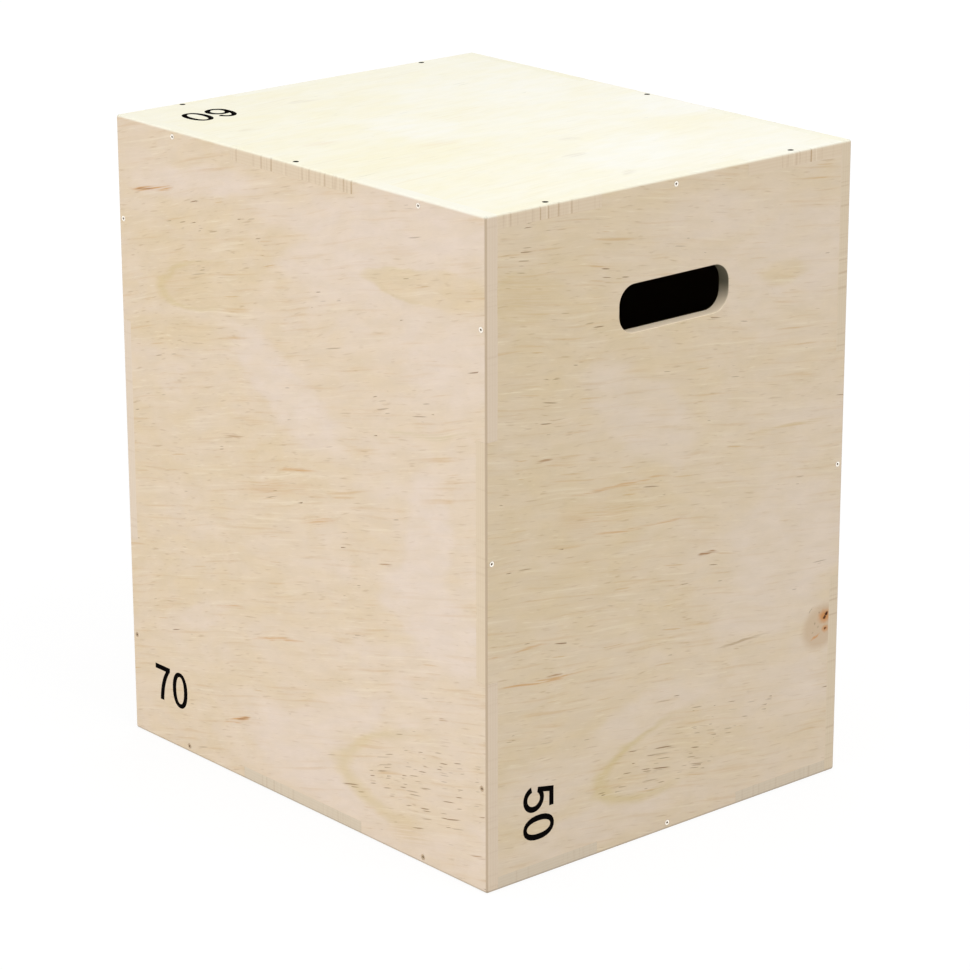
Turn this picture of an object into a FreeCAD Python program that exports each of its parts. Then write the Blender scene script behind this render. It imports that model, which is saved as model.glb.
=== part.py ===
import FreeCAD, Part
import math
import os

from FreeCAD import Placement, Rotation, Vector

# Jumping box of finger-jointed plywood, in millimetres, standing on its 500 x 600 face.
# The origin is the middle of the base, +Z is up, and the handle ends face -Y and +Y.

# The box
box_width = 500.0
box_depth = 600.0
box_height = 700.0
panel_thickness = 15.0
edge_radius = 3.0

# The middle finger of the joints on the edges along X, Y and Z
width_finger = 200.0
depth_finger = 200.0
height_finger = 250.0
finger_clearance = 0.1

# The hand hole in each end panel
handle_length = 150.0
handle_height = 50.0
handle_corner_radius = 20.0
handle_rim_radius = 1.5
handle_inner_chamfer = 1.0
handle_drop = 100.0
corner_limit_share = 0.45
rim_limit_share = 0.45

# The countersunk wood screws, flat-sided because there are many of them
screw_sides = 10
screw_length = 40.0
screw_diameter = 3.0
screw_head_diameter = 6.0
screw_head_height = 1.7
screw_tip_length = 5.0
screw_tip_diameter = 0.6
screw_sink = 0.2
pilot_clearance = 0.05
shank_clearance = 0.2
recess_span = 3.0
recess_slot = 0.7
recess_depth = 1.3
recess_floor_share = 0.5

# How far every cutting tool runs past the face it cuts
overrun = 1.0

half_width = box_width / 2
half_depth = box_depth / 2
half_height = box_height / 2
half_thickness = panel_thickness / 2

X_AXIS = Vector(1, 0, 0)
Y_AXIS = Vector(0, 1, 0)
Z_AXIS = Vector(0, 0, 1)


class Edge:
    """One pair of opposite edges of a panel: its middle finger stands out or is cut out."""

    def __init__(self, name_low, name_high, half_span, middle_finger, is_tab):
        self.names = {-1: name_low, 1: name_high}
        self.step = panel_thickness if is_tab else -panel_thickness
        self.half_finger = middle_finger / 2 if is_tab else middle_finger / 2 + finger_clearance
        self.screw_places = [0] if is_tab else self.outer_finger_middles(half_span, middle_finger / 2)

    def outer_finger_middles(self, half_span, half_middle):
        """The middles of the two outer fingers along an edge whose middle is cut out."""
        middle = (half_span + half_middle) / 2
        return [-middle, middle]


class Panel:
    """A panel drawn on its outer face: u to the right, v up, and w out of the box."""

    def __init__(self, name, u_axis, v_axis, face_middle, half_u, half_v, along_u, along_v):
        self.name = name
        self.placement = Placement(face_middle, Rotation(u_axis, v_axis, u_axis.cross(v_axis), "ZXY"))
        self.half_u = half_u
        self.half_v = half_v
        self.along_u = along_u
        self.along_v = along_v

    def outline(self):
        """The fingered outline: the lower and right edges, then the same turned half round."""
        half_u, half_v = self.half_u, self.half_v
        finger_u, step_u = self.along_u.half_finger, self.along_u.step
        finger_v, step_v = self.along_v.half_finger, self.along_v.step
        half = [
            Vector(-half_u, -half_v, 0),
            Vector(-finger_u, -half_v, 0),
            Vector(-finger_u, -half_v - step_u, 0),
            Vector(finger_u, -half_v - step_u, 0),
            Vector(finger_u, -half_v, 0),
            Vector(half_u, -half_v, 0),
            Vector(half_u, -finger_v, 0),
            Vector(half_u + step_v, -finger_v, 0),
            Vector(half_u + step_v, finger_v, 0),
            Vector(half_u, finger_v, 0),
        ]
        return half + [-point for point in half]

    def blank(self):
        """The fingered plate before its edges are rounded, in its own u, v, w frame."""
        points = self.outline()
        face = Part.Face(Part.makePolygon(points + points[:1]))
        return face.extrude(Z_AXIS * -panel_thickness)

    def screw_rows(self):
        """For each edge, its name and the u, v places of the screws in its fingers."""
        outer_u = self.half_u + max(self.along_v.step, 0) - half_thickness
        outer_v = self.half_v + max(self.along_u.step, 0) - half_thickness
        rows = {}
        for side in (-1, 1):
            rows[self.along_u.names[side]] = [Vector(u, side * outer_v, 0) for u in self.along_u.screw_places]
            rows[self.along_v.names[side]] = [Vector(side * outer_u, v, 0) for v in self.along_v.screw_places]
        return rows


def side_panel(name, turn):
    """A side panel, whole at its corners and notched in the middle of all four edges."""
    edge_low, edge_high = ("back", "front") if turn < 0 else ("front", "back")
    along_u = Edge("bottom", "top", half_depth, depth_finger, is_tab=False)
    along_v = Edge(edge_low, edge_high, half_height, height_finger, is_tab=False)
    middle = Vector(turn * half_width, 0, half_height)
    return Panel(name, Y_AXIS * turn, Z_AXIS, middle, half_depth, half_height, along_u, along_v)


def end_panel(name, turn):
    """An end panel, between the other four, with a tab in the middle of all four edges."""
    edge_low, edge_high = ("left", "right") if turn < 0 else ("right", "left")
    half_u = half_width - panel_thickness
    half_v = half_height - panel_thickness
    along_u = Edge("bottom", "top", half_u, width_finger, is_tab=True)
    along_v = Edge(edge_low, edge_high, half_v, height_finger, is_tab=True)
    middle = Vector(0, turn * half_depth, half_height)
    return Panel(name, X_AXIS * -turn, Z_AXIS, middle, half_u, half_v, along_u, along_v)


def cap_panel(name, turn):
    """The top or bottom panel: notched over the end panels and tabbed over the side panels."""
    edge_low, edge_high = ("front", "back") if turn > 0 else ("back", "front")
    half_u = half_width - panel_thickness
    along_u = Edge(edge_low, edge_high, half_u, width_finger, is_tab=False)
    along_v = Edge("left", "right", half_depth, depth_finger, is_tab=True)
    middle = Vector(0, 0, box_height if turn > 0 else 0)
    return Panel(name, X_AXIS, Y_AXIS * turn, middle, half_u, half_depth, along_u, along_v)


def hand_hole_plug():
    """What the hand hole takes out of an end plate: a block with rounded upright edges."""
    depth = panel_thickness + overrun + overrun
    low_v = half_height - handle_drop - handle_height
    corner = Vector(-handle_length / 2, low_v, -panel_thickness - overrun)
    block = Part.makeBox(handle_length, handle_height, depth, corner)
    upright = [edge for edge in block.Edges if edge.BoundBox.ZLength > panel_thickness]
    radius = min(handle_corner_radius, handle_height * corner_limit_share)
    return block.makeFillet(radius, upright)


def rim_edges(plate, plug, w):
    """The edges around the hand hole that lie flat at a height w."""
    around_hole = plug.BoundBox
    around_hole.enlarge(overrun)
    rims = []
    for edge in plate.Edges:
        is_flat = edge.BoundBox.ZLength < half_thickness
        is_at_height = abs(edge.CenterOfMass.z - w) < half_thickness
        if is_flat and is_at_height and around_hole.isInside(edge.BoundBox):
            rims.append(edge)
    return rims


def with_hand_hole(plate):
    """An end plate with its hand hole: the outer rim is rounded over, the inner one is chamfered."""
    plug = hand_hole_plug()
    holed = plate.cut(plug)
    radius = min(handle_rim_radius, panel_thickness * rim_limit_share)
    chamfer = min(handle_inner_chamfer, panel_thickness * rim_limit_share)
    rounded = holed.makeFillet(radius, rim_edges(holed, plug, 0))
    return rounded.makeChamfer(chamfer, rim_edges(rounded, plug, -panel_thickness))


def round_ring(radius, w):
    """The corners of a flat-sided ring about the w axis, at a height w."""
    turn = 2 * math.pi / screw_sides
    angles = [turn * corner for corner in range(screw_sides)]
    return [Vector(radius * math.cos(angle), radius * math.sin(angle), w) for angle in angles]


def cross_ring(span, slot, w):
    """The corners of a cross about the w axis, at a height w."""
    long, short = span / 2, slot / 2
    quarter = [Vector(long, short, w), Vector(short, short, w), Vector(short, long, w)]
    turn = Rotation(Z_AXIS, 90)
    corners = []
    for _ in range(4):
        corners.extend(quarter)
        quarter = [turn.multVec(corner) for corner in quarter]
    return corners


def flat_face(corners):
    """A flat face with these corners."""
    return Part.Face(Part.makePolygon(corners + corners[:1]))


def stacked(rings):
    """A closed solid of flat faces through rings of corners, from the topmost ring down."""
    faces = [flat_face(rings[0][::-1]), flat_face(rings[-1])]
    for upper, lower in zip(rings, rings[1:]):
        sides = zip(upper, upper[1:] + upper[:1], lower[1:] + lower[:1], lower)
        faces.extend(flat_face(list(corners)) for corners in sides)
    solid = Part.Solid(Part.Shell(faces))
    if solid.Volume < 0:
        solid.reverse()
    return solid


def make_screw():
    """A countersunk screw with its head just under w = 0, pointing down -w, with a cross recess."""
    shank = screw_diameter / 2
    tip = -screw_sink - screw_length
    body = stacked([
        round_ring(screw_head_diameter / 2, -screw_sink),
        round_ring(shank, -screw_sink - screw_head_height),
        round_ring(shank, tip + screw_tip_length),
        round_ring(screw_tip_diameter / 2, tip),
    ])
    floor_span = recess_span * recess_floor_share
    floor_slot = recess_slot * recess_floor_share
    recess = stacked([
        cross_ring(recess_span, recess_slot, -screw_sink),
        cross_ring(floor_span, floor_slot, -screw_sink - recess_depth),
    ])
    return body.cut(recess)


def make_screw_hole():
    """What a screw takes out of the wood: its countersink, its clearance hole and its pilot hole."""
    over_flats = 1 / math.cos(math.pi / screw_sides)
    shank = screw_diameter / 2 + shank_clearance
    pilot = screw_diameter / 2 + pilot_clearance
    slope = (screw_head_diameter - screw_diameter) / 2 / screw_head_height
    mouth = screw_head_diameter / 2 + pilot_clearance + slope * (screw_sink + overrun)
    countersink_depth = (mouth - shank) / slope - overrun
    return stacked([
        round_ring(mouth * over_flats, overrun),
        round_ring(shank * over_flats, -countersink_depth),
        round_ring(shank * over_flats, -panel_thickness),
        round_ring(pilot * over_flats, -panel_thickness),
        round_ring(pilot * over_flats, -screw_sink - screw_length - pilot_clearance),
    ])


def make_envelope():
    """The whole box as one block with every outer edge and corner rounded over."""
    corner = Vector(-half_width, -half_depth, 0)
    block = Part.makeBox(box_width, box_depth, box_height, corner)
    return block.makeFillet(edge_radius, block.Edges)


def placed(shape, panel, place):
    """A copy of a shape, moved from the origin to a place on a panel's outer face."""
    moved = shape.copy()
    moved.Placement = panel.placement.multiply(Placement(place, Rotation()))
    return moved


def make_panel(panel, has_hand_hole, envelope, holes):
    """A finished panel: fingered plate, hand hole, rounded outer edges and screw holes."""
    plate = with_hand_hole(panel.blank()) if has_hand_hole else panel.blank()
    plate.Placement = panel.placement
    plate = plate.common(envelope)
    return plate.cut([hole for hole in holes if hole.BoundBox.intersect(plate.BoundBox)])


def write(name, solids):
    """Writes one node, a single solid or a group of them."""
    shape = solids[0] if len(solids) == 1 else Part.Compound(solids)
    shape.exportStep("parts/" + name + ".step")


def single_solid(shape):
    """The one solid of a boolean result."""
    solids = shape.Solids
    if len(solids) != 1:
        raise ValueError("a panel came out as %d solids" % len(solids))
    return solids[0]


def build():
    """Makes every panel and screw in place and writes them."""
    os.makedirs("parts", exist_ok=True)
    panels = [
        (side_panel("left_side", -1), False),
        (side_panel("right_side", 1), False),
        (end_panel("front_end", -1), True),
        (end_panel("back_end", 1), True),
        (cap_panel("top", 1), False),
        (cap_panel("bottom", -1), False),
    ]
    screw, hole = make_screw(), make_screw_hole()
    envelope = make_envelope()
    holes = []
    for panel, _ in panels:
        for edge_name, places in panel.screw_rows().items():
            holes.extend(placed(hole, panel, place) for place in places)
            screws = [placed(screw, panel, place).Solids[0] for place in places]
            ending = "_screw" if len(screws) == 1 else "_screws"
            write(panel.name + "_" + edge_name + ending, screws)
    for panel, has_hand_hole in panels:
        solid = single_solid(make_panel(panel, has_hand_hole, envelope, holes))
        write(panel.name + "_panel", [solid])
        print(panel.name, "volume", round(solid.Volume), "valid", solid.isValid())


build()
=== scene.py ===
"""Looks of a finger-jointed plywood jumping box: veneer, screws, printed heights and a white studio."""

import logging
import math
from dataclasses import dataclass
from enum import Enum
from functools import reduce
from typing import Optional, Union

import bpy
import numpy as np
from mathutils import Matrix, Vector


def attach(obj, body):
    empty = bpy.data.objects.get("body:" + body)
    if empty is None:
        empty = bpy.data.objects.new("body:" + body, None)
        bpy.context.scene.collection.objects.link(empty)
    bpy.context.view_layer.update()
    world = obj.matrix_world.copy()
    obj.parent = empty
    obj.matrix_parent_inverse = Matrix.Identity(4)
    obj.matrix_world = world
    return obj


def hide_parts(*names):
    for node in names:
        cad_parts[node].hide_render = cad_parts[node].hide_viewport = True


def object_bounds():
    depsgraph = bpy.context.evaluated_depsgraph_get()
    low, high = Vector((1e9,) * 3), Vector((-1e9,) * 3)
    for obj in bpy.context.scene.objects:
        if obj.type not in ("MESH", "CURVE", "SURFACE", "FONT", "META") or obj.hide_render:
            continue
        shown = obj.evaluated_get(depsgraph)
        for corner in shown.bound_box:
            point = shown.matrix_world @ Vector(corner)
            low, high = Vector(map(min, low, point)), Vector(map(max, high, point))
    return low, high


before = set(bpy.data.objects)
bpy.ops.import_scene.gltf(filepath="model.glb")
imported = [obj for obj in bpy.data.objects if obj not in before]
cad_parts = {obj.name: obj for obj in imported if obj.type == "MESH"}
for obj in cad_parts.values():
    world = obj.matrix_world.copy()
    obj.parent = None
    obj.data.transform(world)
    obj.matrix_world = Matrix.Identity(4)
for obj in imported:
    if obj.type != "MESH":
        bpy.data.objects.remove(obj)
CAD_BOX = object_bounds()

# Kinds of values
Colour = tuple[float, float, float, float]
Pair = tuple[float, float]
Triple = tuple[float, float, float]
Socket = bpy.types.NodeSocket
Value = Union[float, tuple, Socket]
Owner = Union[bpy.types.Material, bpy.types.World]

log = logging.getLogger("jumping_box")

BODY = "root"
OUTLINE_STEPS = 24


def shown(red: int, green: int, blue: int) -> Colour:
    """A colour as a screen shows it, turned into the linear values that a shader takes.

    Args:
        red: Red, 0 to 255.
        green: Green, 0 to 255.
        blue: Blue, 0 to 255.

    Returns:
        The linear colour with full alpha.
    """
    share = np.array([red, green, blue]) / 255
    linear = np.where(share <= 0.04045, share / 12.92, ((share + 0.055) / 1.055) ** 2.4)
    return (*(float(part) for part in linear), 1.0)


def eased_step(start: float, stop: float, values: np.ndarray) -> np.ndarray:
    """The smooth step 3t^2 - 2t^3, where t runs from 0 at start to 1 at stop.

    Args:
        start: Where the step begins.
        stop: Where the step ends.
        values: The numbers to be stepped.

    Returns:
        The stepped numbers, from 0 to 1.
    """
    t = np.clip((values - start) / (stop - start), 0, 1)
    return t * t * (3 - 2 * t)


def spun(angle: float) -> np.ndarray:
    """The axes of a flat thing that is turned to the left.

    The first one goes the angle's cosine to the right and its sine up, the second one is a quarter turn on.

    Args:
        angle: How far it is turned, in radians.

    Returns:
        The axes, one in each row.
    """
    cosine, sine = math.cos(angle), math.sin(angle)
    return np.array([[cosine, sine, 0], [-sine, cosine, 0], [0, 0, 1]])


class Face(Enum):
    """A face of the box, as seen from outside: the way to its right, the way up it and the way out of it."""

    LEFT = ((0, -1, 0), (0, 0, 1), (-1, 0, 0))
    RIGHT = ((0, 1, 0), (0, 0, 1), (1, 0, 0))
    FRONT = ((1, 0, 0), (0, 0, 1), (0, -1, 0))
    BACK = ((-1, 0, 0), (0, 0, 1), (0, 1, 0))
    TOP = ((1, 0, 0), (0, 1, 0), (0, 0, 1))
    BOTTOM = ((1, 0, 0), (0, -1, 0), (0, 0, -1))

    @property
    def right(self) -> Vector:
        """The way to the right across the face."""
        return Vector(self.value[0])

    @property
    def up(self) -> Vector:
        """The way up the face."""
        return Vector(self.value[1])

    @property
    def outward(self) -> Vector:
        """The way out of the box."""
        return Vector(self.value[2])

    @property
    def axes(self) -> np.ndarray:
        """The way to the right, the way up and the way out, one in each row."""
        return np.array(self.value, float)

    @property
    def corner(self) -> Vector:
        """The upper left corner of the face, before the edges were rounded.

        Returns:
            The middle of the box, moved by half its size up, out and to the left.
        """
        low, high = CAD_BOX
        middle, half = (low + high) / 2, (high - low) / 2
        way = self.up + self.outward - self.right
        return middle + Vector(a * b for a, b in zip(way, half))

    def point(self, right: float, down: float) -> Vector:
        """A point of the face, that far to the right of its upper left corner and down from it."""
        return self.corner + self.right * right - self.up * down


class NodeSheet:
    """The node tree of a material or of the sky, with one short method for each kind of node in use."""

    def __init__(self, owner: Owner) -> None:
        """Starts an empty node tree.

        Args:
            owner: The material or the world that it belongs to.
        """
        self.owner = owner
        owner.use_nodes = True
        self.tree = owner.node_tree
        self.tree.nodes.clear()

    def feed(self, socket: Socket, value: Value) -> None:
        """Links another node's socket, or sets a plain value.

        Args:
            socket: The input that is fed.
            value: An output socket, a number, a vector or a colour.
        """
        if isinstance(value, bpy.types.NodeSocket):
            self.tree.links.new(value, socket)
        else:
            socket.default_value = value

    def node(self, kind: str, inputs: dict[Union[str, int], Value], **settings: object) -> bpy.types.Node:
        """A node with its settings made and its inputs fed.

        Args:
            kind: The node's type, without its ShaderNode beginning.
            inputs: The value for each input, by name or by number.
            **settings: The node's own properties.

        Returns:
            The new node.
        """
        node = self.tree.nodes.new("ShaderNode" + kind)
        for name, setting in settings.items():
            setattr(node, name, setting)
        for key, value in inputs.items():
            self.feed(node.inputs[key], value)
        return node

    def number(self, operation: str, *values: Value) -> Socket:
        """A sum on numbers."""
        return self.node("Math", dict(enumerate(values)), operation=operation).outputs[0]

    def product(self, *values: Value) -> Socket:
        """Numbers multiplied together."""
        return reduce(lambda one, other: self.number("MULTIPLY", one, other), values)

    def vector(self, operation: str, *values: Value) -> Socket:
        """A sum on vectors that gives a vector."""
        return self.node("VectorMath", dict(enumerate(values)), operation=operation).outputs["Vector"]

    def length(self, vector: Socket) -> Socket:
        """The length of a vector."""
        return self.node("VectorMath", {0: vector}, operation="LENGTH").outputs["Value"]

    def eased(self, value: Value, start: float, stop: float, low: Value = 0.0, high: Value = 1.0) -> Socket:
        """A smooth step from low at start to high at stop.

        Args:
            value: The number to be stepped.
            start: Where the step begins.
            stop: Where the step ends.
            low: The result before the step.
            high: The result after the step.

        Returns:
            The stepped number.
        """
        inputs = {"Value": value, "From Min": start, "From Max": stop, "To Min": low, "To Max": high}
        return self.node("MapRange", inputs, interpolation_type="SMOOTHSTEP").outputs["Result"]

    def blend(self, share: Value, first: Value, second: Value) -> Socket:
        """A number between two others."""
        return self.node("Mix", {0: share, 2: first, 3: second}, data_type="FLOAT").outputs[0]

    def mixed(self, share: Value, first: Value, second: Value, way: str = "MIX") -> Socket:
        """A colour between two others, or one laid over the other in some way."""
        inputs = {0: share, 6: first, 7: second}
        return self.node("Mix", inputs, data_type="RGBA", blend_type=way).outputs[2]

    def scaled(self, colour: Socket, shade: Socket) -> Socket:
        """A colour made lighter or darker all through."""
        return self.node("VectorMath", {0: colour, "Scale": shade}, operation="SCALE").outputs["Vector"]

    def turned(self, vector: Value, move: Value = (0, 0, 0), turn: Value = (0, 0, 0),
               scale: Value = (1, 1, 1), kind: str = "POINT") -> Socket:
        """Coordinates moved, turned and scaled.

        Args:
            vector: The coordinates.
            move: How far they move.
            turn: How far they turn, as Euler angles.
            scale: How much they are scaled.
            kind: POINT moves the coordinates, TEXTURE does the opposite.

        Returns:
            The new coordinates.
        """
        inputs = {"Vector": vector, "Location": move, "Rotation": turn, "Scale": scale}
        return self.node("Mapping", inputs, vector_type=kind).outputs["Vector"]

    def noise(self, vector: Socket, scale: Triple, detail: float, seed: float = 0.0,
              output: str = "Fac") -> Socket:
        """Soft noise, stretched by a scale along each axis.

        Args:
            vector: The coordinates, in metres.
            scale: How many waves go into a metre along each axis.
            detail: How many finer layers are added.
            seed: Where in the noise the pattern is taken from.
            output: Fac for a number, Color for three of them.

        Returns:
            The noise, about a half in the middle.
        """
        place = self.turned(vector, move=(seed, seed, seed), scale=scale)
        return self.node("TexNoise", {"Vector": place, "Scale": 1.0, "Detail": detail}).outputs[output]

    def stir(self, vector: Socket, scale: Triple, seed: float, reach: Triple) -> Socket:
        """How far a place is moved about: three soft noises less a half, times a reach along each axis.

        Args:
            vector: The coordinates, in metres.
            scale: How many waves go into a metre along each axis.
            seed: Where in the noise the pattern is taken from.
            reach: How far the whole swing of the noise moves a place.

        Returns:
            The move.
        """
        swing = self.vector("SUBTRACT", self.noise(vector, scale, 2, seed, "Color"), (0.5, 0.5, 0.5))
        return self.vector("MULTIPLY", swing, reach)

    def parts(self, vector: Socket) -> tuple[Socket, Socket, Socket]:
        """The three parts of a vector."""
        return tuple(self.node("SeparateXYZ", {0: vector}).outputs)

    def object_place(self) -> Socket:
        """The place on the object, in metres."""
        return self.node("TexCoord", {}).outputs["Object"]

    def finish(self, shader: bpy.types.Node) -> Owner:
        """Puts a shader on the surface.

        Args:
            shader: The shader's node.

        Returns:
            The material or the world.
        """
        kind = "OutputWorld" if isinstance(self.owner, bpy.types.World) else "OutputMaterial"
        self.node(kind, {"Surface": shader.outputs[0]})
        return self.owner


@dataclass(frozen=True)
class Patch:
    """A soft ellipse at a place on a face, in metres from the face's upper left corner.

    Attributes:
        right: How far its middle is to the right.
        down: How far its middle is down.
        length: Its length along the grain.
        height: Its height across the grain.
        tilt: How far its right end is turned up, in degrees.
        soft: How much of its half width is a soft edge.
    """

    right: float
    down: float
    length: float
    height: float
    tilt: float = 0.0
    soft: float = 0.7

    def within(self, sheet: NodeSheet, place: Socket) -> Socket:
        """The place as seen from the middle of the patch.

        Args:
            sheet: The node tree.
            place: The place on the face.

        Returns:
            The place in shares of the patch's half size, along it and across it.
        """
        turn = (0, 0, -math.radians(self.tilt))
        half = (self.length / 2, self.height / 2, 1.0)
        inside = sheet.turned(place, (self.right, self.down, 0), turn, half, kind="TEXTURE")
        return sheet.vector("MULTIPLY", inside, (1, 1, 0))

    def cover(self, sheet: NodeSheet, place: Socket) -> Socket:
        """How much of the patch is at a place, from 0 outside it to 1 inside."""
        reach = sheet.length(self.within(sheet, place))
        return sheet.eased(reach, 1 + self.soft / 2, 1 - self.soft / 2)


@dataclass(frozen=True)
class Mark(Patch):
    """A patch where the veneer's own pattern changes.

    Attributes:
        tan: How far it pushes the tone, from 1 for tan to -1 for pale.
        dashes: How thick the short dark dashes lie in it, 0 to 1.
        outline: How strong its olive outline is, 0 to 1.
    """

    tan: float = 0.0
    dashes: float = 0.0
    outline: float = 0.0

    def rim(self, sheet: NodeSheet, place: Socket, cover: Socket) -> Socket:
        """How strong the outline is: it runs round the mark's left end and fades away to the right.

        Args:
            sheet: The node tree.
            place: The place on the face.
            cover: How much of the mark is at the place.

        Returns:
            The outline's strength, 0 to 1.
        """
        rest = sheet.number("SUBTRACT", 1.0, cover)
        along = sheet.parts(self.within(sheet, place))[0]
        return sheet.product(cover, rest, sheet.eased(along, 0.5, -0.7), 4 * self.outline)


@dataclass(frozen=True)
class Blot(Patch):
    """A patch of one colour, such as a resin streak or a part of a knot.

    Attributes:
        colour: Its colour.
        force: How strong it is, 0 to 1.
    """

    colour: Colour = shown(208, 160, 108)
    force: float = 0.6


@dataclass(frozen=True)
class HandHole(Patch):
    """The wall of a hand hole, painted grey as shade above and painted pale as light below.

    Attributes:
        painted_shade_grey: Its colour above, a painted shade.
        wear_and_painted_light: Its colour below, a painted light.
        painted_light_from: How far down the painted light begins.
        painted_light_to: How far down it is full.
    """

    # Painted shade in grey on the upper wall, painted light in pale on the lower wall
    painted_shade_grey: Colour = shown(110, 105, 88)
    wear_and_painted_light: Colour = shown(253, 235, 207)
    painted_light_from: float = 0.120
    painted_light_to: float = 0.150


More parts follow.
